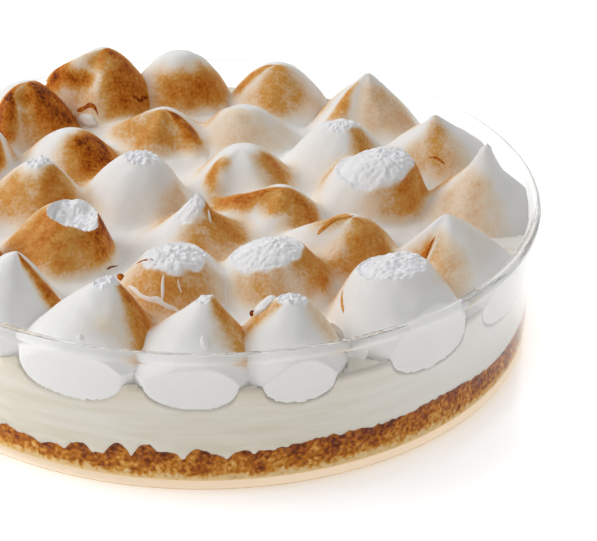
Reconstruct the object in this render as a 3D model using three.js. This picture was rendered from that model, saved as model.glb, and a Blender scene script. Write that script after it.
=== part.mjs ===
import * as THREE from "three";

// Lemon meringue pie in its clear round dish: a crumb base, a lemon cream
// filling and rings of piped meringue kisses. Millimetres, +Z up, with the
// origin at the centre of the dish's underside.

// Dish
const LIP_RADIUS = 120;
const RIM_HEIGHT = 51;
const WALL_RADIUS = 117.8;
const WALL_THICKNESS = 2;
const FLOOR_THICKNESS = 2.5;
const LIP_DEPTH = 3.4;
const OUTER_CORNER = 2;
const INNER_CORNER = 2;
const CORNER_STEPS = 3;
const ROUND_STEPS = 64;

// Layers
const GAP = 0.3;
const CRUMB_MEAN_TOP = 13;
const CRUMB_TILT = 2.6;
const CRUMB_TILT_TOWARDS = -25;
const CRUMB_RIPPLES = [
  { waves: 5, size: 0.7, turn: 20 },
  { waves: 13, size: 0.8, turn: -70 },
];
const FILLING_TOP = 28;
const LAYER_TOP_SHARES = [1, 0.93, 0.6, 0];

// Kisses: each entry is its angle round the ring in degrees, the height of its
// tip above the table, how far the tip leans outwards and along the ring, its
// widest radius, and whether the tip is drawn out or broken off. The outer
// kisses stand on round feet against the wall, and the inner ones run into each
// other low down, so they are spread wider than their radius.
const PEAK = "peak";
const BROKEN = "broken";
const KISS_STEPS = 16;
const KISS_LUMP_SIZE = 0.035;
const KISS_LUMP_WAVES = 3;

// Outlines of a kiss, as shares of its widest radius and of its height.
const STANDING_BODY = [
  [0, 0],
  [0.55, 0],
  [0.93, 0.12],
  [1, 0.28],
  [0.84, 0.45],
  [0.58, 0.62],
];
const MERGED_BODY = [
  [0, 0],
  [0.96, 0],
  [1, 0.36],
  [0.66, 0.48],
  [0.46, 0.63],
];
const PEAK_END = [
  [0.33, 0.78],
  [0.1, 0.96],
  [0, 1],
];
const BROKEN_END = [
  [0.4, 0.82],
  [0.31, 1],
  [0, 0.94],
];

const RINGS = [
  {
    radius: 100,
    body: STANDING_BODY,
    spread: 1,
    kisses: [
      [-129, 63, -5, 5, 22, PEAK],
      [-108, 62, -5, 5, 24.5, PEAK],
      [-89, 60, -2, 5, 23, PEAK],
      [-72, 58, 0, 2, 19.5, PEAK],
      [-48, 60, -3, 0, 24, PEAK],
      [-26, 62, -7, 0, 23, PEAK],
      [2, 66, 0, 0, 24, PEAK],
      [29, 59, -4, 0, 22, PEAK],
      [53, 62, -1, 0, 21, PEAK],
      [76, 58, -4, 0, 21, PEAK],
      [99, 61, -2, 0, 21, PEAK],
      [117, 65, -1, 0, 21, PEAK],
      [138, 60, -3, 0, 21, PEAK],
      [160, 56, -15, 0, 21, PEAK],
      [187, 61, -5, 0, 22, PEAK],
      [211, 58, -16, 0, 21, PEAK],
    ],
  },
  {
    radius: 61,
    body: MERGED_BODY,
    spread: 1.45,
    kisses: [
      [-142, 57, -5, 0, 20.5, BROKEN],
      [-96, 55, 2, 0, 20.5, BROKEN],
      [-65, 55, 0, 0, 20.5, BROKEN],
      [-34, 57, 2, 0, 20.5, PEAK],
      [8, 58, 5, 0, 20.5, BROKEN],
      [37, 58, 0, 0, 20.5, PEAK],
      [78, 56, -5, 0, 20.5, PEAK],
      [110, 55, -4, 0, 20.5, PEAK],
      [149, 57, -2, 0, 20.5, PEAK],
      [182, 58, -3, 0, 20.5, PEAK],
    ],
  },
  {
    radius: 26,
    body: MERGED_BODY,
    spread: 1.45,
    kisses: [
      [-93, 57, -1, 0, 20.5, BROKEN],
      [-20, 55, 4, 0, 20.5, PEAK],
      [58, 56, -2, 0, 20.5, PEAK],
      [172, 58, -3, 0, 20.5, PEAK],
    ],
  },
];

const INSIDE_RADIUS = WALL_RADIUS - WALL_THICKNESS;
const CONTENTS_RADIUS = INSIDE_RADIUS - GAP;

// Radii where a layer's top is shaped, from the wall to the middle.
const TOP_RADII = LAYER_TOP_SHARES.map((share) => share * CONTENTS_RADIUS);

function degrees(value) {
  return THREE.MathUtils.degToRad(value);
}

// Points of an arc in a profile, both ends included.
function arc(centreX, centreY, radius, from, to) {
  const points = [];
  for (let i = 0; i <= CORNER_STEPS; i += 1) {
    const angle = degrees(from + ((to - from) * i) / CORNER_STEPS);
    const x = centreX + radius * Math.cos(angle);
    const y = centreY + radius * Math.sin(angle);
    points.push(new THREE.Vector2(x, y));
  }
  return points;
}

// A solid of revolution about +Z from a profile of radius and height.
function turned(profile, steps) {
  const geometry = new THREE.LatheGeometry(profile, steps);
  geometry.rotateX(Math.PI / 2);
  return geometry;
}

// Moves every vertex of a geometry to the place that a function gives it.
function reshape(geometry, place) {
  const positions = geometry.getAttribute("position");
  const point = new THREE.Vector3();
  for (let i = 0; i < positions.count; i += 1) {
    point.fromBufferAttribute(positions, i);
    place(point);
    positions.setXYZ(i, point.x, point.y, point.z);
  }
  geometry.computeVertexNormals();
  return geometry;
}

function piece(name, geometry, color, roughness) {
  const material = new THREE.MeshStandardMaterial({
    color,
    roughness,
    metalness: 0,
  });
  const mesh = new THREE.Mesh(geometry, material);
  mesh.name = name;
  return mesh;
}

// Straight wall on a flat floor, with round corners and a thickened lip.
function makeDish() {
  const lipBead = LIP_DEPTH / 2;
  const lipCentre = RIM_HEIGHT - lipBead;
  const lipAxis = LIP_RADIUS - lipBead;
  const profile = [
    new THREE.Vector2(0, 0),
    ...arc(WALL_RADIUS - OUTER_CORNER, OUTER_CORNER, OUTER_CORNER, -90, 0),
    new THREE.Vector2(WALL_RADIUS, RIM_HEIGHT - LIP_DEPTH - lipBead),
    ...arc(lipAxis, lipCentre, lipBead, -60, 90),
    new THREE.Vector2(INSIDE_RADIUS + lipBead / 2, RIM_HEIGHT),
    new THREE.Vector2(INSIDE_RADIUS, lipCentre),
    ...arc(
      INSIDE_RADIUS - INNER_CORNER,
      FLOOR_THICKNESS + INNER_CORNER,
      INNER_CORNER,
      0,
      -90,
    ),
    new THREE.Vector2(0, FLOOR_THICKNESS),
  ];
  const dish = piece("dish", turned(profile, ROUND_STEPS), 0xf2f5f5, 0.05);
  dish.material.transparent = true;
  dish.material.opacity = 0.3;
  return dish;
}

// Height of the pressed crumb's top: lower on one side, and rippled at the wall.
function crumbTop(angle, radius) {
  const share = radius / CONTENTS_RADIUS;
  let height = CRUMB_TILT * Math.cos(angle - degrees(CRUMB_TILT_TOWARDS));
  for (const ripple of CRUMB_RIPPLES) {
    height += ripple.size * Math.sin(ripple.waves * angle + degrees(ripple.turn));
  }
  return CRUMB_MEAN_TOP + height * share * share;
}

function makeCrumbBase() {
  const bottom = FLOOR_THICKNESS + GAP;
  const profile = [
    new THREE.Vector2(0, bottom),
    ...arc(
      CONTENTS_RADIUS - INNER_CORNER,
      bottom + INNER_CORNER,
      INNER_CORNER,
      -90,
      0,
    ),
    ...TOP_RADII.map((radius) => new THREE.Vector2(radius, CRUMB_MEAN_TOP)),
  ];
  const geometry = turned(profile, ROUND_STEPS);
  reshape(geometry, (point) => {
    if (point.z < CRUMB_MEAN_TOP - GAP) return;
    const angle = Math.atan2(point.y, point.x);
    point.z = crumbTop(angle, Math.hypot(point.x, point.y));
  });
  return piece("crumb_base", geometry, 0xa8692a, 0.95);
}

// The filling's underside follows the crumb, and its top is flat.
function makeFilling() {
  const profile = [
    ...TOP_RADII.map((radius) => new THREE.Vector2(radius, 0)).reverse(),
    new THREE.Vector2(CONTENTS_RADIUS, FILLING_TOP),
    new THREE.Vector2(0, FILLING_TOP),
  ];
  const geometry = turned(profile, ROUND_STEPS);
  reshape(geometry, (point) => {
    if (point.z > FILLING_TOP - GAP) return;
    const angle = Math.atan2(point.y, point.x);
    point.z = crumbTop(angle, Math.hypot(point.x, point.y)) + GAP;
  });
  return piece("lemon_filling", geometry, 0xe8e0c6, 0.5);
}

// Every kiss as its foot on the filling, the lean and height of its tip, and
// its outline.
function placeKisses() {
  const kisses = [];
  for (const ring of RINGS) {
    for (const [turn, tip, leanOut, leanAlong, radius, end] of ring.kisses) {
      const out = new THREE.Vector2(Math.cos(degrees(turn)), Math.sin(degrees(turn)));
      const along = new THREE.Vector2(-out.y, out.x);
      const lean = along.multiplyScalar(leanAlong).addScaledVector(out, leanOut);
      kisses.push({
        foot: out.clone().multiplyScalar(ring.radius),
        lean,
        radius,
        spread: ring.spread,
        height: tip - FILLING_TOP - GAP,
        outline: [...ring.body, ...(end === BROKEN ? BROKEN_END : PEAK_END)],
        turn: degrees(turn),
      });
    }
  }
  return kisses;
}

// How far a kiss may reach from a point in one direction: up to the dish's wall,
// and up to the plane where its round foot and a neighbour's cross.
function reach(kiss, from, direction, kisses) {
  const along = from.dot(direction);
  const wall = CONTENTS_RADIUS * Math.cos(Math.PI / ROUND_STEPS);
  let limit = -along + Math.sqrt(along * along - from.lengthSq() + wall * wall);
  for (const other of kisses) {
    if (other === kiss) continue;
    const apart = other.foot.clone().sub(kiss.foot);
    const distance = apart.length();
    apart.divideScalar(distance);
    const towards = direction.dot(apart);
    if (towards <= 0) continue;
    const squares = kiss.radius ** 2 - other.radius ** 2;
    const border = (distance + squares / distance) / 2;
    const left = border - from.clone().sub(kiss.foot).dot(apart);
    limit = Math.min(limit, (left - GAP / 2) / towards);
  }
  return limit;
}

function makeKiss(name, kiss, kisses) {
  const widest = kiss.radius * kiss.spread;
  const profile = kiss.outline.map(
    ([width, rise]) => new THREE.Vector2(width * widest, rise * kiss.height),
  );
  const geometry = turned(profile, KISS_STEPS);
  const middle = new THREE.Vector2();
  const direction = new THREE.Vector2();
  reshape(geometry, (point) => {
    const rise = point.z / kiss.height;
    middle.copy(kiss.lean).multiplyScalar(rise * rise).add(kiss.foot);
    const radius = Math.hypot(point.x, point.y);
    const angle = Math.atan2(point.y, point.x);
    const lump = 1 + KISS_LUMP_SIZE * Math.sin(KISS_LUMP_WAVES * (angle + kiss.turn));
    direction.set(Math.cos(angle), Math.sin(angle));
    const out = Math.min(radius * lump, reach(kiss, middle, direction, kisses));
    point.x = middle.x + direction.x * out;
    point.y = middle.y + direction.y * out;
    point.z += FILLING_TOP + GAP;
  });
  return piece(name, geometry, 0xf1ece4, 0.7);
}

function makePie() {
  const pie = new THREE.Group();
  pie.add(makeDish(), makeCrumbBase(), makeFilling());
  const kisses = placeKisses();
  kisses.forEach((kiss, i) => {
    const number = String(i + 1).padStart(2, "0");
    pie.add(makeKiss(`meringue_${number}`, kiss, kisses));
  });
  return pie;
}

export default makePie();
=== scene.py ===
import math
from collections import Counter

import bmesh
import bpy
from mathutils import Matrix, Vector, noise


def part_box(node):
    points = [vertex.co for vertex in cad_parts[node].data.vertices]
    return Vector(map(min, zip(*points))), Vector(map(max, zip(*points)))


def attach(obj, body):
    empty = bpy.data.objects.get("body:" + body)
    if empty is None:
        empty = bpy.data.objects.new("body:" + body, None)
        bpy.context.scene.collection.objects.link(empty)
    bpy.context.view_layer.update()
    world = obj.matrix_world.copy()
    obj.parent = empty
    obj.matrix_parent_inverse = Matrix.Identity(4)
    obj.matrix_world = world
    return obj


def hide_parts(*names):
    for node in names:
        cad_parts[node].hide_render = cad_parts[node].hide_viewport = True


# Lemon meringue pie in its clear dish: the looks of the dish, the crumb base,
# the lemon cream and the torch-browned meringue kisses. Metres, +Z up.

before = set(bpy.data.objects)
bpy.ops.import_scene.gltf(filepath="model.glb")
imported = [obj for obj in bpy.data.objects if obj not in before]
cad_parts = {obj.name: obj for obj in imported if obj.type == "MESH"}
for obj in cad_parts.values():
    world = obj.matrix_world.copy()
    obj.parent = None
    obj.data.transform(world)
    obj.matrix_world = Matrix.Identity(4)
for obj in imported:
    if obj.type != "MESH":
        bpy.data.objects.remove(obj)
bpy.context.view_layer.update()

MM = 0.001

# What the frame says about the dish and its layers
GAP = 0.3 * MM
INTO_WALL = 0.15 * MM
LIP_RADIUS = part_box("dish")[1].x
RIM_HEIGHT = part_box("dish")[1].z
INSIDE_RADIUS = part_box("lemon_filling")[1].x + GAP
FLOOR_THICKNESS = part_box("crumb_base")[0].z - GAP
FILLING_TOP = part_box("lemon_filling")[1].z

# Dish
WALL_THICKNESS = 2 * MM
LIP_DEPTH = 3.4 * MM
CORNER = 2 * MM
CORNER_STEPS = 8
DISH_STEPS = 240
SHEEN_RISE = (14 * MM, 30 * MM)
SHEEN = (0.15, 0.9)

# Crumb and filling
CAD_STEPS = 64
LAYER_STEPS = 900
CRUMB_ROWS = 14
CRUMB_EDGE = 0.9
CRUMB_MEAN_TOP = 13 * MM
CRUMB_KNOB = 9 * MM
CRUMB_KNOB_HEIGHT = 10 * MM
CRUMB_KNOB_DIP = 0.3
CRUMB_KNOB_POWER = 0.8
CRUMB_LUMP = 2.4 * MM
CRUMB_LUMP_HEIGHT = 0.7 * MM
CRUMB_GRAIN = 1.5 * MM
CRUMB_POCKET = 0.5 * MM
FILLING_ROWS = 8
FILLING_EDGE = 0.84
FILLING_EDGE_ROWS = 8
NOTCH_HEIGHT = 9 * MM
NOTCH_FADE = (96 * MM, 103 * MM)
# Painted shade: the cream turns darker tan in the notches between the kisses
NOTCH_SHADE_RISE = (1 * MM, 7 * MM)
NOTCH_PAINTED_SHADE = 0.35
SMEAR_HEIGHT = 5 * MM
# Painted veil of reflected light, by the next two: the cream whiter towards the right
PAINTED_VEIL_ACROSS = (30 * MM, 90 * MM)
PAINTED_VEIL = 0.9
SMEAR_SIDE = math.radians(-18)
SMEAR_WIDTH = math.radians(50)
INTO_KISS = 0.5 * MM

# Kisses
OUTER_RING = 85 * MM
INNER_RADIUS = 20.5
KISS_STEPS = 120
KISS_RINGS = 50
KISS_SIDE_ROWS = 28
SIDE_MARK = 1.1
TIP_CROWDING = 1.2
OVERLAP = 0.8 * MM
OVERLAP_DROP = 0.25 * MM
SHOULDER = 0.28
TUCKED_IN = 0.42
SLOPE_CURVE = 0.9
TIP_ROUNDING = 0.06
PINCH_WIDTH = 0.34
SKIRT_FALL = 2.5
UNEVENNESS = 0.07
BLANKET = 12 * MM
BLANKET_FADE = (76 * MM, 102 * MM)
VALLEY_BLEND = 2.8 * MM
OUTER_CREASE = 7 * MM
NEIGHBOUR_RANGE = 62 * MM
SKIRT_RANGE = 34 * MM
RIDGE_WIDTH = math.radians(38)
RIDGE_SWEEP = math.radians(30)
HOLLOW_TURN = math.radians(42)
HOLLOW_WIDTH = math.radians(40)
LUMP = 11 * MM
LUMP_HEIGHT = 0.7 * MM
BREAK_RAGGED = 5 * MM
BREAK_RAGGED_HEIGHT = 1.8 * MM
BREAK_RIM = 0.35 * MM
BREAK_RIM_WIDTH = 1.6 * MM
BREAK_SPREAD = 1.35
FOAM_EDGE = (-0.5 * MM, 1.2 * MM)
BREAK_PEAK = 0.6
BREAK_DROP = 0.3
SMALL_BREAK = 5
SMALL_BREAK_RAGGED = 1.7
FOAM_LUMP = 1.8 * MM
FOAM_HEIGHT = 0.75 * MM
CLEAN_AT_WALL = (107 * MM, 114 * MM)
CREASE = math.radians(55)
STROKE_WANDER = 0.2
STROKE_EDGE = (0.2, 1.25)
STROKE_END_WANDER = 0.1
STROKE_FOOT = (-0.1, 0.3)
STROKE_TOP = (-0.15, 0.15)
STAIN = 9 * MM
FINE_STAIN = 4 * MM
FOLD_STEPS = 40
FOLD_ROWS = 16
FOLD_WANDER = 4 * MM
FOLD_SWAY = 0.8 * MM

# Camera, floor and light
PHOTO_WIDTH = 597
FOCAL_PIXELS = 1915
SENSOR = 36
CAMERA_PLACE = Vector((34.3, -613.9, 356.8)) * MM
CAMERA_DOWN = math.radians(29.04)
CAMERA_ROLL = math.radians(1.55)
FLOOR_HALF = 6
FLOOR_DROP = 0.1 * MM
FLOOR_GLOW = 0.55
# Painted contact shadow on the floor near the dish, warm as a painted reflection of the crumb
PAINTED_SHADOW_REACH = (110 * MM, 135 * MM)
ROOM_LIGHT = 0.4

# Looks of each kiss, chosen one by one. All angles are in degrees round its tip.
# radius: its widest, in millimetres, where that isn't INNER_RADIUS.
# full: 1 for a straight cone and more for a rounder dome.
# pinch: how much of its height is drawn out to a thin tip.
# lean: how far its tip leans over, in millimetres.
# strokes of the torch: the side that it faces, half its width, between which shares
# of the height above the valleys, and how dark.
# ridges: the side, the size, and on which side of it a hollow runs.
# broken: radius of the broken top in millimetres, the side that it faces, how
# steeply, and how round it still is.
KISS_LOOKS = {
    "meringue_01": dict(
        radius=22, full=1.1, strokes=[(-35, 28, 0.2, 1.1, 0.7)], ridges=[(-40, 0.15, -1)]
    ),
    "meringue_02": dict(
        radius=22.5,
        full=1.25,
        pinch=0.08,
        strokes=[(0, 55, 0.05, 1.1, 0.6), (-60, 50, 0.0, 0.8, 0.1)],
        broken=(3.5, 110, 8, 0.6),
    ),
    "meringue_03": dict(
        radius=21,
        full=1.2,
        pinch=0.1,
        strokes=[(-25, 70, 0.0, 1.1, 0.42)],
        broken=(2.6, 150, 25, 0.5),
    ),
    "meringue_04": dict(
        radius=19.3,
        full=1.4,
        strokes=[(200, 35, 0.3, 1.1, 0.3), (0, 50, 0.2, 1.1, 0.16)],
        broken=(3.5, 90, 10, 0.6),
    ),
    "meringue_05": dict(
        radius=22, full=1.9, strokes=[(-20, 70, 0.05, 0.9, 0.2)], broken=(8, 155, 16, 0.45)
    ),
    "meringue_06": dict(
        radius=23,
        full=1.2,
        strokes=[(-125, 22, 0.0, 0.7, 0.4), (-95, 55, 0.0, 0.8, 0.22), (0, 60, 0.0, 1.1, 0.05)],
        ridges=[(-150, 0.18, 1)],
    ),
    "meringue_07": dict(
        radius=23,
        full=0.95,
        pinch=0.2,
        strokes=[(-140, 60, 0.0, 0.7, 0.18)],
        broken=(4, 120, 20, 0.75),
    ),
    "meringue_08": dict(radius=23, full=1.4, pinch=0.15, strokes=[(-75, 60, 0.15, 1.0, 0.28)]),
    "meringue_09": dict(
        radius=21.5,
        full=1.1,
        pinch=0.06,
        strokes=[(-160, 18, 0.25, 0.8, 0.46), (-70, 70, 0.1, 0.9, 0.22)],
        ridges=[(-160, 0.15, 1)],
    ),
    "meringue_10": dict(
        radius=21, full=1.7, strokes=[(-70, 80, 0.2, 1.1, 0.36), (195, 25, 0.3, 1.1, 0.5)]
    ),
    "meringue_11": dict(radius=21, full=1.8, strokes=[(-80, 95, 0.1, 0.8, 0.58)]),
    "meringue_12": dict(
        radius=21,
        full=1.6,
        strokes=[
            (-12, 74, 0.0, 1.1, 0.65),
            (-130, 50, 0.42, 0.74, 0.88),
            (-155, 20, 0.1, 0.8, 0.8),
            (-50, 105, 0.7, 1.3, 0.58),
            (-95, 50, 0.0, 0.6, 0.26),
        ],
        ridges=[(-152, 0.34, 1)],
    ),
    "meringue_13": dict(
        radius=21,
        full=1.6,
        strokes=[
            (-25, 80, 0.0, 1.1, 0.82),
            (-140, 20, 0.2, 1.1, 0.85),
            (-45, 105, 0.62, 1.3, 0.66),
            (-95, 40, 0.0, 0.7, 0.34),
        ],
        ridges=[(-140, 0.26, 1)],
    ),
    "meringue_14": dict(radius=21, full=1.5, strokes=[(-60, 80, 0.2, 1.1, 0.6)]),
    "meringue_15": dict(radius=22, full=1.4, strokes=[(-30, 70, 0.2, 1.1, 0.55)]),
    "meringue_16": dict(radius=21, full=1.4, strokes=[(-20, 60, 0.2, 1.1, 0.65)]),
    "meringue_17": dict(
        radius=19.5,
        full=1.8,
        lean=(3.2, 0),
        strokes=[(-40, 90, 0.0, 1.3, 0.76), (-150, 75, 0.05, 1.3, 0.5)],
        broken=(6.5, -100, 20, -0.15),
    ),
    "meringue_18": dict(full=1.7, strokes=[(-80, 100, 0.0, 1.3, 0.38)], broken=(7.5, 90, 8, 0.6)),
    "meringue_19": dict(
        full=1.7,
        strokes=[(-20, 65, 0.05, 1.3, 0.5), (-120, 55, 0.1, 1.3, 0.28)],
        broken=(10, 160, 17, 0.6),
    ),
    "meringue_20": dict(
        full=1.8,
        strokes=[(-35, 90, 0.0, 1.2, 0.46), (170, 70, 0.72, 1.3, 0.42)],
        ridges=[(-165, 0.26, 1)],
    ),
    "meringue_21": dict(full=1.9, strokes=[(-60, 85, 0.0, 1.3, 0.5)], broken=(12.5, 180, 16, 0.6)),
    "meringue_22": dict(full=1.5, strokes=[(-25, 40, 0.2, 1.1, 0.45)], broken=(5, 120, 20, 0.75)),
    "meringue_23": dict(full=1.7, strokes=[(-110, 130, 0.0, 1.1, 0.14)]),
    "meringue_24": dict(
        full=1.5,
        strokes=[(-90, 120, 0.0, 1.1, 0.42), (-5, 24, 0.2, 1.1, 0.75)],
        ridges=[(-5, 0.22, -1), (-170, 0.15, 1)],
    ),
    "meringue_25": dict(full=1.5, strokes=[(-45, 90, 0.0, 0.95, 0.82)]),
    "meringue_26": dict(
        full=1.4,
        strokes=[(-35, 70, 0.0, 1.0, 0.5), (-120, 70, 0.0, 0.9, 0.38)],
        broken=(3, 150, 20, 0.75),
    ),
    "meringue_27": dict(
        full=1.05,
        pinch=0.2,
        strokes=[(-20, 55, 0.05, 1.3, 0.56), (-75, 70, 0.0, 0.7, 0.36)],
        broken=(5.5, 212, 38, 0.7),
    ),
    "meringue_28": dict(
        full=1.6,
        strokes=[(-20, 62, 0.15, 1.1, 0.56), (-90, 120, 0.55, 1.1, 0.52), (190, 26, 0.1, 1.1, 0.6)],
        ridges=[(190, 0.25, 1)],
    ),
    "meringue_29": dict(
        full=1.7,
        strokes=[(205, 22, 0.2, 0.8, 0.5), (-25, 50, 0.05, 0.9, 0.48)],
        ridges=[(205, 0.18, 1)],
    ),
    "meringue_30": dict(
        full=1.8,
        strokes=[(205, 60, -0.1, 0.35, 0.2), (0, 40, 0.0, 0.6, 0.2)],
        broken=(4, 120, 15, 0.75),
    ),
}

# A weak stroke on the far side of every kiss, given like those above
FAR_STROKE = (100, 60, 0.0, 0.7, 0.42)

# Thin folds on the kisses: start, bend and end in millimetres, width, and how brown
FOLDS = [
    ((-21.7, -68.5), (-15, -78.5), (-1, -80), 0.55, 0.0),
    ((2, -79.5), (13, -76), (10.5, -65), 0.6, 0.03),
    ((-9.3, -71.9), (-9.8, -74.4), (-10, -77.5), 0.5, 0.0),
    ((-4.3, -73.3), (-4.6, -74.5), (-3.4, -76), 0.35, 0.05),
    ((-19.4, -61), (-16, -64), (-13, -66), 0.4, 0.85),
    ((71.5, -53), (75.5, -50), (79.5, -46), 1.3, 0.66),
    ((75.5, -52.5), (78.5, -50), (81.3, -47.5), 0.55, 0.06),
    ((49, -73.5), (48.2, -78), (49.1, -83.2), 0.45, 0.4),
    ((81.7, 34.3), (85, 33.6), (88.1, 31.8), 0.4, 0.65),
    ((-33, 77.5), (-30, 79.5), (-27.5, 84.5), 0.5, 0.95),
    ((-31, -47.5), (-29.5, -46), (-27, -43.5), 0.35, 0.9),
    ((-55.3, 76.6), (-50, 73.5), (-45.4, 69.5), 0.5, 0.85),
    ((40.6, -38.9), (45, -36), (53, -33.7), 1.0, 0.5),
    ((2.6, -27), (3.2, -28.8), (3.9, -30.4), 0.5, 0.0),
]

# Flecks on and beside the kisses: place in millimetres, its three half sizes, its turn
# in degrees, how far it is lifted off the surface, and how brown it is
FLECKS = [
    ((-24.2, -59.5), (1.2, 1.1, 1.3), 0, 0.6, 0.95),
    ((20.5, -88), (1.2, 1.0, 1.1), 0, 0.5, 0.9),
    ((24, -92.3), (3.4, 4.4, 1.6), 35, 0.4, 0.0),
    ((-50, 69.5), (4.2, 2.2, 1.6), 0, 0.3, 0.02),
    ((-32.6, -107.7), (1.0, 1.0, 0.6), 0, 0, 0.0),
    ((6.1, -109.9), (1.4, 2.2, 0.7), 0, 0, 0.0),
]


def smooth_step(low, high, value):
    share = min(max((value - low) / (high - low), 0), 1)
    return share * share * (3 - 2 * share)


def turn_between(first, second):
    """The smaller turn from one angle to another, with its sign."""
    return (first - second + math.pi) % math.tau - math.pi


def swell(off, width):
    """A smooth bump across a width on both sides of an angle."""
    return 0.5 + 0.5 * math.cos(math.pi * min(abs(off) / width, 1))


def arc(centre_x, centre_z, radius, start, end):
    """Points of an arc in a profile, both ends included."""
    points = []
    for step in range(CORNER_STEPS + 1):
        angle = math.radians(start + (end - start) * step / CORNER_STEPS)
        points.append((centre_x + radius * math.cos(angle), centre_z + radius * math.sin(angle)))
    return points


def spun(profile, steps):
    """A bmesh that is turned about the Z axis from a profile of radius and height."""
    bm = bmesh.new()
    chain = [bm.verts.new((radius, 0, height)) for radius, height in profile]
    edges = [bm.edges.new(pair) for pair in zip(chain, chain[1:])]
    bmesh.ops.spin(
        bm,
        geom=chain + edges,
        cent=(0, 0, 0),
        axis=(0, 0, 1),
        angle=math.tau,
        steps=steps,
        use_merge=True,
    )
    bmesh.ops.remove_doubles(bm, verts=bm.verts, dist=1e-7)
    bmesh.ops.recalc_face_normals(bm, faces=bm.faces)
    return bm


def finish_piece(bm, name, material, slot, *nodes):
    """Makes a bmesh a smooth piece of the pie that stands for its CAD nodes."""
    for face in bm.faces:
        face.smooth = True
    mesh = bpy.data.meshes.new(name)
    bm.to_mesh(mesh)
    bm.free()
    mesh.materials.append(material)
    piece = bpy.data.objects.new(name, mesh)
    bpy.context.scene.collection.objects.link(piece)
    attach(piece, "root")
    if nodes:
        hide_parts(*nodes)
    return piece


class Tree:
    """Adds nodes to one node tree."""

    def __init__(self, tree):
        self.nodes = tree.nodes
        self.links = tree.links

    def add(self, kind, inputs=None, **settings):
        node = self.nodes.new(kind)
        for key, value in settings.items():
            setattr(node, key, value)
        for key, value in (inputs or {}).items():
            if isinstance(value, bpy.types.NodeSocket):
                self.links.new(value, node.inputs[key])
            else:
                node.inputs[key].default_value = value
        return node

    def math(self, operation, first, second=0.0):
        return self.add("ShaderNodeMath", {0: first, 1: second}, operation=operation).outputs[0]

    def mix(self, share, first, second):
        node = self.add("ShaderNodeMix", data_type="RGBA")
        for index, value in ((0, share), (6, first), (7, second)):
            if isinstance(value, bpy.types.NodeSocket):
                self.links.new(value, node.inputs[index])
            else:
                node.inputs[index].default_value = value
        return node.outputs[2]

    def ramp(self, value, stops):
        node = self.add("ShaderNodeValToRGB", {0: value})
        elements = node.color_ramp.elements
        while len(elements) < len(stops):
            elements.new(0.5)
        for element, (position, colour) in zip(elements, stops):
            element.position = position
            element.color = colour
        return node.outputs[0]

    def spread(self, value, low, high, new_low=0.0, new_high=1.0):
        inputs = {0: value, 1: low, 2: high, 3: new_low, 4: new_high}
        return self.add("ShaderNodeMapRange", inputs).outputs[0]


def colour(red, green, blue):
    """A colour from its screen values of 0 to 255."""
    linear = []
    for value in (red, green, blue):
        share = value / 255
        linear.append(share / 12.92 if share <= 0.04045 else ((share + 0.055) / 1.055) ** 2.4)
    return (*linear, 1.0)


def make_mottle():
    """Node group: uneven patches of a given size, as a value around a half."""
    group = bpy.data.node_groups.new("mottle", "ShaderNodeTree")
    sockets = group.interface
    sockets.new_socket("Patches per metre", in_out="INPUT", socket_type="NodeSocketFloat")
    sockets.new_socket("Flattening", in_out="INPUT", socket_type="NodeSocketFloat")
    sockets.new_socket("Value", in_out="OUTPUT", socket_type="NodeSocketFloat")
    tree = Tree(group)
    entry = tree.add("NodeGroupInput")
    place = tree.add("ShaderNodeTexCoord").outputs["Object"]
    parts = tree.add("ShaderNodeSeparateXYZ", {0: place})
    height = tree.math("MULTIPLY", parts.outputs[2], entry.outputs["Flattening"])
    flat = tree.add("ShaderNodeCombineXYZ", {0: parts.outputs[0], 1: parts.outputs[1], 2: height})
    pattern = tree.add(
        "ShaderNodeTexNoise",
        {
            "Vector": flat.outputs[0],
            "Scale": entry.outputs["Patches per metre"],
            "Detail": 3.0,
            "Roughness": 0.55,
        },
    )
    tree.add("NodeGroupOutput", {"Value": pattern.outputs["Fac"]})
    return group


def mottle(tree, group, per_metre, flattening=1.0):
    inputs = {"Patches per metre": per_metre, "Flattening": flattening}
    node = tree.add("ShaderNodeGroup", node_tree=group)
    for key, value in inputs.items():
        node.inputs[key].default_value = value
    return node.outputs["Value"]


def new_material(name):
    material = bpy.data.materials.new(name)
    material.use_nodes = True
    material.node_tree.nodes.clear()
    return material, Tree(material.node_tree)


def make_clear_dish():
    """Clear wall whose sheen grows from the foot to the upper wall."""
    material, tree = new_material("clear_dish")
    place = tree.add("ShaderNodeTexCoord").outputs["Object"]
    height = tree.add("ShaderNodeSeparateXYZ", {0: place}).outputs[2]
    glass = tree.add(
        "ShaderNodeBsdfPrincipled",
        {
            "Base Color": (1, 1, 1, 1),
            "Roughness": 0.0,
            "IOR": 1.09,
            "Transmission Weight": 1.0,
            "Coat Weight": tree.spread(height, *SHEEN_RISE, *SHEEN),
            "Coat Roughness": 0.0,
            "Coat IOR": 1.5,
        },
    )
    let_lamps_through(tree, glass)
    return material


def let_lamps_through(tree, glass):
    """Ends a clear material, so that it throws no dark shadow."""
    clear = tree.add("ShaderNodeBsdfTransparent", {"Color": (0.97, 0.97, 0.97, 1)})
    path = tree.add("ShaderNodeLightPath")
    mixed = tree.add(
        "ShaderNodeMixShader",
        {0: path.outputs["Is Shadow Ray"], 1: glass.outputs[0], 2: clear.outputs[0]},
    )
    tree.add("ShaderNodeOutputMaterial", {"Surface": mixed.outputs[0]})


def make_lip_with_painted_highlight():
    """The slightly frosted lip of the dish, part white so that it shows as a bright line: a painted
    highlight.
    """
    material, tree = new_material("clear_dish_lip")
    # Part white and part clear: a painted highlight that shows the lip as a bright line
    glass = tree.add(
        "ShaderNodeBsdfPrincipled",
        {"Base Color": (1, 1, 1, 1), "Roughness": 0.14, "IOR": 1.45, "Transmission Weight": 0.8},
    )
    let_lamps_through(tree, glass)
    return material


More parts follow.
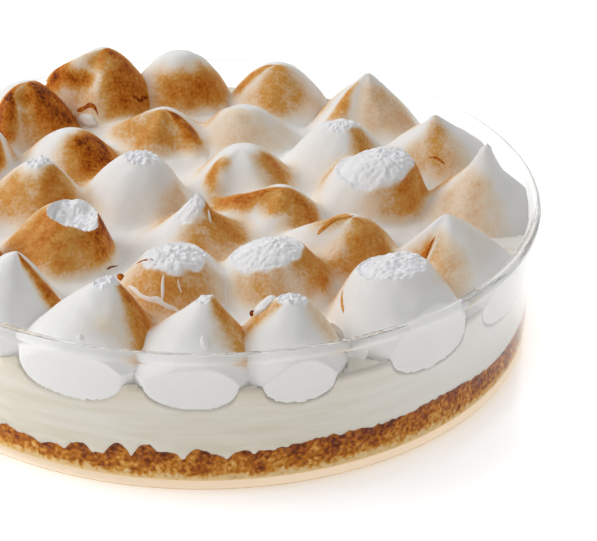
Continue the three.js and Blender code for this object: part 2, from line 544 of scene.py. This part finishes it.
def make_meringue(mottled):
    """White foam, browned where the torch mask says, and rough where a tip broke."""
    material, tree = new_material("toasted_meringue")
    torch = tree.add("ShaderNodeAttribute", attribute_name="toast").outputs["Fac"]
    foam = tree.add("ShaderNodeAttribute", attribute_name="foam").outputs["Fac"]
    patches = tree.spread(mottle(tree, mottled, 170.0), 0.3, 0.7, 0.7, 1.3)
    specks = tree.spread(mottle(tree, mottled, 900.0), 0.3, 0.7, 0.74, 1.26)
    brown = tree.math("MULTIPLY", tree.math("MULTIPLY", torch, patches), specks)
    browned = tree.ramp(
        brown,
        [
            (0.0, colour(248, 247, 245)),
            (0.12, colour(244, 226, 202)),
            (0.35, colour(224, 166, 86)),
            (0.62, colour(204, 118, 18)),
            (0.85, colour(166, 78, 2)),
            (1.0, colour(105, 40, 0)),
        ],
    )
    tint = tree.mix(foam, browned, colour(250, 250, 252))
    fine = tree.math("MULTIPLY", mottle(tree, mottled, 1100.0), 0.5)
    grain = tree.math("ADD", fine, mottle(tree, mottled, 330.0))
    strength = tree.spread(foam, 0.0, 1.0, 0.3, 0.8)
    bump = tree.add("ShaderNodeBump", {"Strength": strength, "Distance": 0.6 * MM, "Height": grain})
    rough = tree.spread(foam, 0.0, 1.0, 0.55, 0.9)
    surface = tree.add(
        "ShaderNodeBsdfPrincipled",
        {
            "Base Color": tint,
            "Roughness": rough,
            "Specular IOR Level": 0.15,
            "Normal": bump.outputs[0],
        },
    )
    tree.add("ShaderNodeOutputMaterial", {"Surface": surface.outputs[0]})
    return material


def make_lemon_cream(mottled):
    """Pale cream, darker in the notches, a painted shade there, and whiter towards the right, a
    painted veil of reflected light.
    """
    material, tree = new_material("lemon_cream")
    smears = tree.spread(mottle(tree, mottled, 30.0, 9.0), 0.35, 0.65)
    tint = tree.mix(smears, colour(228, 221, 200), colour(240, 235, 222))
    place = tree.add("ShaderNodeTexCoord").outputs["Object"]
    parts = tree.add("ShaderNodeSeparateXYZ", {0: place})
    rise = tree.math("SUBTRACT", parts.outputs[2], FILLING_TOP)
    # Painted shade in the notches, growing with height above the cream's top
    painted_notch_shade = tree.spread(rise, *NOTCH_SHADE_RISE, 0.0, NOTCH_PAINTED_SHADE)
    tint = tree.mix(painted_notch_shade, tint, colour(224, 202, 168))
    # Painted veil of reflected light: the cream whiter towards the right
    painted_veil_share = tree.spread(parts.outputs[0], *PAINTED_VEIL_ACROSS, 0.0, PAINTED_VEIL)
    tint = tree.mix(painted_veil_share, tint, colour(244, 242, 236))
    grain = mottle(tree, mottled, 300.0)
    bump = tree.add("ShaderNodeBump", {"Strength": 0.1, "Distance": 0.3 * MM, "Height": grain})
    surface = tree.add(
        "ShaderNodeBsdfPrincipled",
        {
            "Base Color": tint,
            "Roughness": 0.45,
            "Normal": bump.outputs[0],
        },
    )
    tree.add("ShaderNodeOutputMaterial", {"Surface": surface.outputs[0]})
    return material


def make_biscuit_crumb(mottled):
    """Golden grains with dark pockets near the top edge and a paler foot."""
    material, tree = new_material("biscuit_crumb")
    grains = mottle(tree, mottled, 650.0)
    lumps = mottle(tree, mottled, 120.0)
    level = tree.add("ShaderNodeAttribute", attribute_name="level").outputs["Fac"]
    foot = tree.spread(level, 0.0, 0.38, 0.34, 0.0)
    shift = tree.math("ADD", foot, tree.spread(level, 0.5, 1.0, 0.0, -0.08))
    tone = tree.math("ADD", tree.math("MULTIPLY", grains, 0.6), tree.math("MULTIPLY", lumps, 0.4))
    tint = tree.ramp(
        tree.math("ADD", tone, shift),
        [
            (0.34, colour(96, 34, 0)),
            (0.43, colour(160, 78, 2)),
            (0.52, colour(204, 122, 18)),
            (0.6, colour(230, 172, 78)),
            (0.7, colour(246, 214, 158)),
        ],
    )
    bump = tree.add("ShaderNodeBump", {"Strength": 0.6, "Distance": 0.8 * MM, "Height": grains})
    surface = tree.add(
        "ShaderNodeBsdfPrincipled",
        {
            "Base Color": tint,
            "Roughness": 0.85,
            "Specular IOR Level": 0.2,
            "Normal": bump.outputs[0],
        },
    )
    tree.add("ShaderNodeOutputMaterial", {"Surface": surface.outputs[0]})
    return material


def make_dish(material, lip_material):
    """Straight clear wall on a flat floor, with round corners and a rounded lip."""
    wall_radius = INSIDE_RADIUS + WALL_THICKNESS
    bead = LIP_DEPTH / 2
    lip_height = RIM_HEIGHT - bead
    profile = [
        (0, 0),
        *arc(wall_radius - CORNER, CORNER, CORNER, -90, 0),
        (wall_radius, RIM_HEIGHT - LIP_DEPTH - bead),
        *arc(LIP_RADIUS - bead, lip_height, bead, -60, 90),
        (INSIDE_RADIUS + bead / 2, RIM_HEIGHT),
        (INSIDE_RADIUS, lip_height),
        *arc(INSIDE_RADIUS - CORNER, FLOOR_THICKNESS + CORNER, CORNER, 0, -90),
        (0, FLOOR_THICKNESS),
    ]
    bm = spun(profile, DISH_STEPS)
    for face in bm.faces:
        if face.calc_center_median().z > RIM_HEIGHT - LIP_DEPTH:
            face.material_index = 1
    dish = finish_piece(bm, "clear_dish", material, "clear_dish", "dish")
    dish.data.materials.append(lip_material)
    return dish


def read_crumb_edge():
    """Heights of the CAD crumb's top edge at the wall, in even steps round it."""
    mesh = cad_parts["crumb_base"].data
    outside = 0.999 * max(math.hypot(v.co.x, v.co.y) for v in mesh.vertices)
    heights = [0] * CAD_STEPS
    for vertex in mesh.vertices:
        if math.hypot(vertex.co.x, vertex.co.y) > outside:
            angle = math.atan2(vertex.co.y, vertex.co.x)
            step = round(angle / math.tau * CAD_STEPS) % CAD_STEPS
            heights[step] = max(heights[step], vertex.co.z)
    return heights


def crumb_edge_height(angle, edge):
    """Height of the crumb's top at the wall: the CAD's own, with knobs and lumps on it."""
    position = angle % math.tau / math.tau * CAD_STEPS
    before = int(position) % CAD_STEPS
    share = position - int(position)
    height = edge[before] * (1 - share) + edge[(before + 1) % CAD_STEPS] * share
    place = Vector((math.cos(angle), math.sin(angle), 0)) * INSIDE_RADIUS
    lumpy = smooth_step(-0.7, 0.3, -math.cos(angle))
    knob = abs(noise.noise(place / CRUMB_KNOB)) ** CRUMB_KNOB_POWER - CRUMB_KNOB_DIP
    knobs = CRUMB_KNOB_HEIGHT * lumpy * knob
    return height + knobs + CRUMB_LUMP_HEIGHT * noise.noise(place / CRUMB_LUMP)


def make_crumb(material, edge):
    """Pressed crumb that fills the dish's floor and reaches just into its wall."""
    radius = INSIDE_RADIUS + INTO_WALL
    bottom = FLOOR_THICKNESS - INTO_WALL
    corner = arc(radius - CORNER, bottom + CORNER, CORNER, -90, 0)
    side_foot = bottom + CORNER
    side = [
        (radius, side_foot + (CRUMB_MEAN_TOP - side_foot) * row / CRUMB_ROWS)
        for row in range(1, CRUMB_ROWS + 1)
    ]
    top = [(radius * share, CRUMB_MEAN_TOP) for share in (0.985, 0.95, 0.6, 0)]
    bm = spun([(0, bottom), (radius * 0.6, bottom), *corner, *side, *top], LAYER_STEPS)
    level = bm.verts.layers.float.new("level")
    for vertex in bm.verts:
        vertex[level] = (vertex.co.z - bottom) / (CRUMB_MEAN_TOP - bottom)
        place = vertex.co
        angle = math.atan2(place.y, place.x)
        away = math.hypot(place.x, place.y)
        if place.z > side_foot and away > CRUMB_EDGE * radius:
            share = (place.z - side_foot) / (CRUMB_MEAN_TOP - side_foot)
            place.z = side_foot + share * (crumb_edge_height(angle, edge) - side_foot)
        if away > 0.999 * radius:
            grain = noise.noise(place / CRUMB_GRAIN) + 0.5 * noise.noise(place / CRUMB_GRAIN * 2.1)
            pocket = CRUMB_POCKET * smooth_step(0.1, 0.7, grain)
            place.x -= pocket * math.cos(angle)
            place.y -= pocket * math.sin(angle)
    return finish_piece(bm, "crumb", material, "biscuit_crumb", "crumb_base")


def notch_rise(place, kisses):
    """How far the cream is pushed up near the wall, beside the feet of the kisses."""
    off = turn_between(math.atan2(place.y, place.x), SMEAR_SIDE)
    rise = NOTCH_HEIGHT + SMEAR_HEIGHT * swell(off, SMEAR_WIDTH)
    rise *= smooth_step(*NOTCH_FADE, place.length)
    for kiss in kisses:
        out = place - kiss.tip
        share = out.length / kiss.span(out.normalized())
        if kiss.outer and share < 1:
            free = max(share - TUCKED_IN, 0) / (1 - TUCKED_IN)
            rise = min(rise, SHOULDER * kiss.height * (1 - math.sqrt(1 - free * free)))
    return rise


def make_filling(material, edge, kisses):
    """Lemon cream from the crumb up to the kisses, reaching just into the wall."""
    radius = INSIDE_RADIUS + INTO_WALL
    foot = CRUMB_MEAN_TOP
    rise = (FILLING_TOP - foot) / FILLING_ROWS
    side = [(radius, foot + rise * row) for row in range(FILLING_ROWS + 1)]
    edge_shares = [0.99 - 0.02 * row for row in range(FILLING_EDGE_ROWS)]
    top = [(radius * share, FILLING_TOP) for share in (*edge_shares, 0.6, 0)]
    bm = spun([(0, foot), (radius * 0.6, foot), (radius * 0.95, foot), *side, *top], LAYER_STEPS)
    for vertex in bm.verts:
        place = vertex.co
        angle = math.atan2(place.y, place.x)
        if math.hypot(place.x, place.y) < FILLING_EDGE * radius:
            continue
        brim = FILLING_TOP + notch_rise(place.xy, kisses) + INTO_KISS
        share = (FILLING_TOP - place.z) / (FILLING_TOP - foot)
        place.z = brim + share * (crumb_edge_height(angle, edge) - GAP - brim)
    return finish_piece(bm, "lemon_cream", material, "lemon_cream", "lemon_filling")


class Kiss:
    """One piped kiss: where its CAD node stands, and how the torch left it."""

    def __init__(self, name, node):
        self.name = name
        places = [v.co for v in node.data.vertices]
        lowest = min(p.z for p in places)
        highest = max(p.z for p in places)
        base = Counter((round(p.x, 5), round(p.y, 5)) for p in places if p.z < lowest + GAP / 9)
        crown = {(round(p.x, 5), round(p.y, 5)) for p in places if p.z > highest - GAP / 9}
        self.foot = Vector(base.most_common(1)[0][0])
        self.tip = sum((Vector(p) for p in crown), Vector((0, 0))) / len(crown)
        self.tip += Vector(KISS_LOOKS[name].get("lean", (0, 0))) * MM
        self.height = highest - lowest
        self.outer = self.foot.length > OUTER_RING
        self.outward = self.foot.normalized()
        look = KISS_LOOKS[name]
        self.radius = look.get("radius", INNER_RADIUS) * MM
        self.valley = SHOULDER * self.height if self.outer else BLANKET
        self.full = look["full"]
        self.pinch = look.get("pinch", 0)
        self.sweep = RIDGE_SWEEP if int(name[-1]) % 2 else -RIDGE_SWEEP
        self.strokes = [
            (math.radians(side), math.radians(half), low, high, dark)
            for side, half, low, high, dark in [*look["strokes"], FAR_STROKE]
        ]
        self.ridges = [
            (math.radians(side), size, hollow) for side, size, hollow in look.get("ridges", [])
        ]
        self.peak = self.height
        self.ragged = 0
        self.broken = look.get("broken")
        if self.broken:
            size, facing, tilt, self.roundness = self.broken
            self.peak += BREAK_PEAK * size * MM
            self.ragged = FOAM_HEIGHT * (SMALL_BREAK_RAGGED if size < SMALL_BREAK else 1)
            self.break_level = self.height - BREAK_DROP * size * MM
            side = Vector((math.cos(math.radians(facing)), math.sin(math.radians(facing))))
            self.break_slope = math.tan(math.radians(tilt)) * side

    def span(self, direction):
        """Distance from under the tip to the round foot's edge in a direction."""
        offset = self.tip - self.foot
        along = offset.dot(direction)
        return -along + math.sqrt(along * along - offset.length_squared + self.radius**2)

    def outline(self, share):
        """Share of the height at a share of the way from the tip to the foot's edge."""
        if share >= 1:
            return SHOULDER * (1 - SKIRT_FALL * (share - 1))
        body = (1 - share**self.full) ** SLOPE_CURVE
        thin = max(0, 1 - share / PINCH_WIDTH) ** 2
        return SHOULDER + (1 - SHOULDER) * ((1 - self.pinch) * body + self.pinch * thin)

    def surface(self, place):
        """Height above the filling at a place, its share of broken foam, and how the
        place lies from the tip: its angle and its share of the way to the foot."""
        out = place - self.tip
        distance = out.length
        direction = out / distance if distance > 1e-9 else Vector((1, 0))
        angle = math.atan2(direction.y, direction.x)
        share = distance / self.span(direction)
        push = UNEVENNESS * noise.noise((1.2 * direction + 900 * self.foot).to_3d())
        for toward, size, side in self.ridges:
            off = turn_between(angle, toward + self.sweep * share)
            crest = swell(off, RIDGE_WIDTH) ** 1.5
            push += size * (swell(off - side * HOLLOW_TURN, HOLLOW_WIDTH) - crest)
        share *= 1 + push
        share = math.hypot(share, TIP_ROUNDING) - TIP_ROUNDING
        height = self.outline(share) * self.peak
        foam = 0
        if self.broken:
            spot = place.to_3d() / BREAK_RAGGED
            level = self.break_level - self.break_slope.dot(out)
            level += BREAK_RAGGED_HEIGHT * noise.noise(spot)
            level += 2 * max(0, distance - BREAK_SPREAD * self.broken[0] * MM)
            above = height - level
            foam = smooth_step(*FOAM_EDGE, above)
            if above > 0:
                inside = above / BREAK_RIM_WIDTH
                height = level + BREAK_RIM * inside * math.exp(1 - inside) + self.roundness * above
        return height, foam, angle, share

    def toast(self, angle, share, height, place):
        """How brown a point is, from 0 for white to 1 for burnt."""
        rise = (height - self.valley) / (self.height - self.valley)
        wander = noise.noise(place / STAIN) + 0.4 * noise.noise(place / FINE_STAIN)
        end = rise + STROKE_END_WANDER * wander
        brown = 0
        for side, half, low, high, dark in self.strokes:
            off = turn_between(angle, side + self.sweep * share) + STROKE_WANDER * wander
            across = 1 - smooth_step(*STROKE_EDGE, abs(off) / half)
            up = smooth_step(low + STROKE_FOOT[0], low + STROKE_FOOT[1], end)
            down = 1 - smooth_step(high + STROKE_TOP[0], high + STROKE_TOP[1], end)
            brown = max(brown, dark * across * up * down)
        return brown


def reach(kiss, direction, near):
    """How far a kiss goes from under its tip, and whether a neighbour stops it there."""
    along = kiss.tip.dot(direction)
    wall = INSIDE_RADIUS + INTO_WALL
    limit = -along + math.sqrt(along * along - kiss.tip.length_squared + wall * wall)
    if kiss.outer:
        inward = max(0, 0.5 - direction.dot(kiss.outward))
        limit = min(limit, kiss.span(direction) * (1 + 3 * inward))
    stopped = False
    for other in near:
        if other is kiss:
            continue
        apart = other.foot - kiss.foot
        towards = direction.dot(apart)
        if towards > 1e-6:
            squares = apart.length_squared + kiss.radius**2 - other.radius**2
            left = (squares / 2 - (kiss.tip - kiss.foot).dot(apart)) / towards
            if left < limit:
                limit = left
                stopped = True
    return limit, stopped


def meringue_at(place, kisses):
    """Height of the joined kisses at a place, with its shares of foam and browning."""
    near = []
    for kiss in kisses:
        if (place - kiss.tip).length < SKIRT_RANGE:
            near.append([*kiss.surface(place), kiss])
    outer = sorted((entry for entry in near if entry[-1].outer), key=lambda entry: -entry[0])
    for entry in outer[1:]:
        entry[0] -= OUTER_CREASE
    blanket = BLANKET * (1 - smooth_step(*BLANKET_FADE, place.length))
    top = max([blanket] + [entry[0] for entry in near])
    shares = [math.exp((entry[0] - top) / VALLEY_BLEND) for entry in near]
    total = sum(shares) + math.exp((blanket - top) / VALLEY_BLEND)
    height = top + VALLEY_BLEND * math.log(total)
    spot = place.to_3d()
    foam = sum(share * entry[1] for share, entry in zip(shares, near)) / total
    ragged = sum(share * entry[1] * entry[-1].ragged for share, entry in zip(shares, near)) / total
    brown = 0
    for share, (_, broken, angle, out, kiss) in zip(shares, near):
        if share > 0.05 * total:
            brown += share / total * (1 - broken) * kiss.toast(angle, out, height, spot)
    lumps = noise.noise(spot / LUMP) + 0.5 * noise.noise(spot / LUMP * 2.3)
    height += LUMP_HEIGHT * lumps * (1 - foam)
    brown *= 1 - smooth_step(*CLEAN_AT_WALL, place.length)
    if foam > 0:
        crumbly = noise.noise(spot / FOAM_LUMP) + 0.6 * noise.noise(spot / FOAM_LUMP * 1.9)
        height += ragged * crumbly
    return height, foam, brown


def tucked_foot(height, kiss):
    """Share of its widest radius that a kiss has at a height under its shoulder."""
    below = 1 - min(max(height / (SHOULDER * kiss.height), 0), 1)
    return TUCKED_IN + (1 - TUCKED_IN) * math.sqrt(1 - below * below)


def make_kiss(kiss, kisses, material):
    """A kiss from a spun disc and its side, laid out from its tip to its neighbours."""
    near = [k for k in kisses if (k.foot - kiss.foot).length < NEIGHBOUR_RANGE]
    rings = [((ring / KISS_RINGS) ** TIP_CROWDING, 0) for ring in range(KISS_RINGS + 1)]
    sides = [(SIDE_MARK, -row / KISS_SIDE_ROWS) for row in range(KISS_SIDE_ROWS + 1)]
    bm = spun([*rings, *sides, (0, -1)], KISS_STEPS)
    toast = bm.verts.layers.float.new("toast")
    foam = bm.verts.layers.float.new("foam")
    base = FILLING_TOP - INTO_WALL
    edges = {}
    for vertex in bm.verts:
        share = math.hypot(vertex.co.x, vertex.co.y)
        drop = -vertex.co.z
        angle = math.atan2(vertex.co.y, vertex.co.x)
        direction = Vector((math.cos(angle), math.sin(angle)))
        step = round(angle / math.tau * KISS_STEPS) % KISS_STEPS
        on_side = share > 1
        if step not in edges:
            limit, stopped = reach(kiss, direction, near)
            brim = limit + OVERLAP if stopped else limit
            height, broken, brown = meringue_at(kiss.tip + direction * brim, near)
            if stopped:
                height -= OVERLAP_DROP
            height = max(height, 0)
            edges[step] = limit, brim, height, broken, brown
        limit, brim, height, broken, brown = edges[step]
        out = brim
        if not on_side:
            out = share * limit
            height, broken, brown = meringue_at(kiss.tip + direction * out, near)
        elif drop > 0:
            height *= 1 - drop
            brown *= smooth_step(0, SHOULDER * kiss.height, height)
            out = min(out, kiss.span(direction) * tucked_foot(height, kiss))
        if share == 0:
            out = 0
        place = kiss.tip + direction * out
        vertex.co = (place.x, place.y, base + height)
        vertex[foam] = broken
        vertex[toast] = brown
    bmesh.ops.remove_doubles(bm, verts=bm.verts, dist=1e-7)
    for edge in bm.edges:
        if edge.calc_face_angle(0) > CREASE:
            edge.smooth = False
    name = kiss.name.replace("meringue", "kiss")
    return finish_piece(bm, name, material, "toasted_meringue", kiss.name)


def surface_height(place, kisses):
    return FILLING_TOP - INTO_WALL + meringue_at(place, kisses)[0]


def make_folds(kisses, material):
    """Thin raised folds that lie along the surface of the kisses."""
    bm = bmesh.new()
    toast = bm.verts.layers.float.new("toast")
    for start, bend, end, width, brown in FOLDS:
        grid = bmesh.ops.create_grid(bm, x_segments=FOLD_STEPS, y_segments=FOLD_ROWS, size=1)
        for vertex in grid["verts"]:
            along = 0.5 + 0.5 * vertex.co.x
            across = math.tau * (0.5 + 0.5 * vertex.co.y)
            first = Vector(start).lerp(Vector(bend), along)
            second = Vector(bend).lerp(Vector(end), along)
            place = first.lerp(second, along) * MM
            side = (second - first).orthogonal().normalized()
            wander = noise.noise(place.to_3d() / FOLD_WANDER)
            thick = width * MM * math.sqrt(max(math.sin(math.pi * along), 0)) * (1 + 0.7 * wander)
            place += (FOLD_SWAY * wander - thick * math.cos(across)) * side
            lift = thick * (0.8 * math.sin(across) - 0.25)
            vertex.co = (place.x, place.y, surface_height(place, kisses) + lift)
            vertex[toast] = brown
    bmesh.ops.remove_doubles(bm, verts=bm.verts, dist=1e-7)
    bmesh.ops.recalc_face_normals(bm, faces=bm.faces)
    return finish_piece(bm, "meringue_folds", material, "toasted_meringue")


def make_flecks(kisses, material):
    """Small lumps of meringue that lie on and beside the kisses."""
    bm = bmesh.new()
    toast = bm.verts.layers.float.new("toast")
    for place, sizes, turn, lift, brown in FLECKS:
        ball = bmesh.ops.create_icosphere(bm, subdivisions=4, radius=1)
        spots = []
        for step in ((0, 0), (1, 0), (0, 1)):
            spot = (Vector(place) + Vector(step)) * MM
            spots.append(Vector((spot.x, spot.y, surface_height(spot, kisses))))
        middle, right, ahead = spots
        normal = (right - middle).cross(ahead - middle).normalized()
        middle = middle + lift * MM * normal
        lie = normal.to_track_quat("Z", "Y").to_matrix() @ Matrix.Rotation(math.radians(turn), 3, "Z")
        for vertex in ball["verts"]:
            uneven = 1 + 0.15 * noise.noise(1.7 * vertex.co + 900 * middle)
            vertex.co = middle + lie @ (vertex.co * Vector(sizes) * uneven * MM)
            vertex[toast] = brown
    return finish_piece(bm, "meringue_flecks", material, "toasted_meringue")


def make_floor():
    """Pale floor that glows, a little dimmer and warmer close to the dish: a painted contact shadow
    with a warm painted reflection of the crumb.
    """
    bm = bmesh.new()
    bmesh.ops.create_grid(bm, x_segments=1, y_segments=1, size=FLOOR_HALF)
    bmesh.ops.translate(bm, vec=(0, 0, -FLOOR_DROP), verts=bm.verts)
    mesh = bpy.data.meshes.new("pale_floor")
    bm.to_mesh(mesh)
    bm.free()
    floor = bpy.data.objects.new("pale_floor", mesh)
    bpy.context.scene.collection.objects.link(floor)
    material, tree = new_material("pale_floor")
    place = tree.add("ShaderNodeTexCoord").outputs["Object"]
    away = tree.add("ShaderNodeVectorMath", {0: place}, operation="LENGTH").outputs["Value"]
    # Painted contact shadow: the glow is dimmer and warmer close to the dish, a painted reflection of
    # the crumb
    glow_and_painted_shadow = tree.ramp(
        tree.spread(away, *PAINTED_SHADOW_REACH),
        [
            (0.0, (0.33, 0.32, 0.31, 1)),
            (0.26, (0.38, 0.355, 0.33, 1)),
            (0.42, (0.48, 0.47, 0.46, 1)),
            (0.7, (FLOOR_GLOW, FLOOR_GLOW, FLOOR_GLOW, 1)),
        ],
    )
    surface = tree.add(
        "ShaderNodeBsdfPrincipled",
        {
            "Base Color": (0.9, 0.9, 0.9, 1),
            "Roughness": 0.25,
            "Emission Color": glow_and_painted_shadow,
            "Emission Strength": 1.0,
        },
    )
    tree.add("ShaderNodeOutputMaterial", {"Surface": surface.outputs[0]})
    mesh.materials.append(material)


def make_lamp(name, place, sides, energy):
    lamp = bpy.data.lights.new(name, "AREA")
    lamp.shape = "RECTANGLE"
    lamp.size, lamp.size_y = sides
    lamp.energy = energy
    holder = bpy.data.objects.new(name, lamp)
    bpy.context.scene.collection.objects.link(holder)
    holder.location = place
    holder.rotation_euler = (-holder.location).to_track_quat("-Z", "Y").to_euler()


def make_light():
    """White room light, a large soft lamp from the upper left and a weak one behind."""
    world = bpy.data.worlds.new("studio")
    world.use_nodes = True
    bpy.context.scene.world = world
    background = world.node_tree.nodes["Background"]
    background.inputs["Color"].default_value = (1, 1, 1, 1)
    background.inputs["Strength"].default_value = ROOM_LIGHT
    make_lamp("soft_lamp", (-0.95, 0.12, 0.8), (0.7, 0.7), 7.3)
    make_lamp("back_lamp", (0.05, 1.2, 0.74), (1.2, 0.3), 3)


def make_camera():
    camera = bpy.data.cameras.new("camera")
    camera.sensor_width = SENSOR
    camera.lens = SENSOR * FOCAL_PIXELS / PHOTO_WIDTH
    camera.clip_start = 0.01
    camera.clip_end = 20
    holder = bpy.data.objects.new("camera", camera)
    bpy.context.scene.collection.objects.link(holder)
    tilt = Matrix.Rotation(math.pi / 2 - CAMERA_DOWN, 4, "X")
    roll = Matrix.Rotation(CAMERA_ROLL, 4, "Z")
    holder.matrix_world = Matrix.Translation(CAMERA_PLACE) @ tilt @ roll
    bpy.context.scene.camera = holder


def make_pie():
    mottled = make_mottle()
    edge = read_crumb_edge()
    make_dish(make_clear_dish(), make_lip_with_painted_highlight())
    make_crumb(make_biscuit_crumb(mottled), edge)
    kisses = [Kiss(name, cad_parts[name]) for name in sorted(KISS_LOOKS)]
    make_filling(make_lemon_cream(mottled), edge, kisses)
    meringue = make_meringue(mottled)
    for kiss in kisses:
        make_kiss(kiss, kisses, meringue)
    make_folds(kisses, meringue)
    make_flecks(kisses, meringue)


make_pie()
make_floor()
make_light()
make_camera()
bpy.context.scene.view_settings.view_transform = "Standard"
